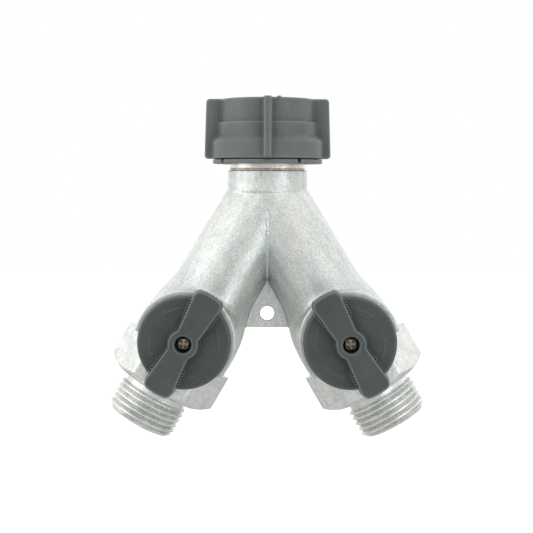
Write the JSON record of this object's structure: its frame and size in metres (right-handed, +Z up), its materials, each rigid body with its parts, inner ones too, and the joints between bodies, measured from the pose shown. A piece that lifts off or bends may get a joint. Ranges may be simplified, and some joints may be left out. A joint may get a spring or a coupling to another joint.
{
  "type": "hose splitter",
  "caption": "Y-shaped die-cast garden hose splitter with a swivel nut for the tap and a quarter-turn ball valve in each outlet arm.",
  "frame": {"origin": "centre of the hose washer's top face, where the tap seals, on the inlet's axis", "axes": "+Z up along the inlet's axis out of the nut's mouth, +X to the right seen from the knobs, -Y out of the front through both knobs"},
  "size_m": [0.121, 0.0562, 0.1304],
  "materials": {
    "body": "bare die-cast zinc alloy, matt with fine cast grain and small pits",
    "outlet_fitting": "bare zinc alloy, machined on the thread and end faces",
    "swivel_nut": "moulded grey plastic, satin",
    "nut_retainer_ring": "moulded grey plastic, satin",
    "hose_washer": "black rubber",
    "knob": "moulded dark grey-green plastic, satin with fine texture",
    "knob_screw": "yellow-passivated steel",
    "ball": "polished chrome plate on brass",
    "stem": "turned brass",
    "seat": "white PTFE",
    "thrust_washer": "white PTFE",
    "o_ring": "black nitrile rubber"
  },
  "bodies": {
    "casting": {"body": "body", "outlet_fitting_left": "outlet_fitting", "outlet_o_ring_left": "o_ring", "seat_upstream_left": "seat", "seat_downstream_left": "seat", "outlet_fitting_right": "outlet_fitting", "outlet_o_ring_right": "o_ring", "seat_upstream_right": "seat", "seat_downstream_right": "seat"},
    "swivel": {"swivel_nut": "swivel_nut", "nut_retainer_ring": "nut_retainer_ring", "hose_washer": "hose_washer"},
    "valve_left": {"knob_left": "knob", "knob_screw_left": "knob_screw", "stem_left": "stem", "stem_thrust_washer_left": "thrust_washer", "stem_o_ring_inner_left": "o_ring", "stem_o_ring_outer_left": "o_ring", "ball_left": "ball"},
    "valve_right": {"knob_right": "knob", "knob_screw_right": "knob_screw", "stem_right": "stem", "stem_thrust_washer_right": "thrust_washer", "stem_o_ring_inner_right": "o_ring", "stem_o_ring_outer_right": "o_ring", "ball_right": "ball"}
  },
  "joints": [
    {"name": "nut_swivel", "type": "hinge", "parent": "casting", "child": "swivel", "pos_m": [0, 0, 0], "axis": [0, 0, 1], "continuous": true},
    {"name": "valve_left_turn", "type": "hinge", "parent": "casting", "child": "valve_left", "pos_m": [-0.0308, 0, -0.08215], "axis": [0, 1, 0], "range_deg": [0, 90]},
    {"name": "valve_right_turn", "type": "hinge", "parent": "casting", "child": "valve_right", "pos_m": [0.0308, 0, -0.08215], "axis": [0, 1, 0], "range_deg": [0, 90]}
  ]
}
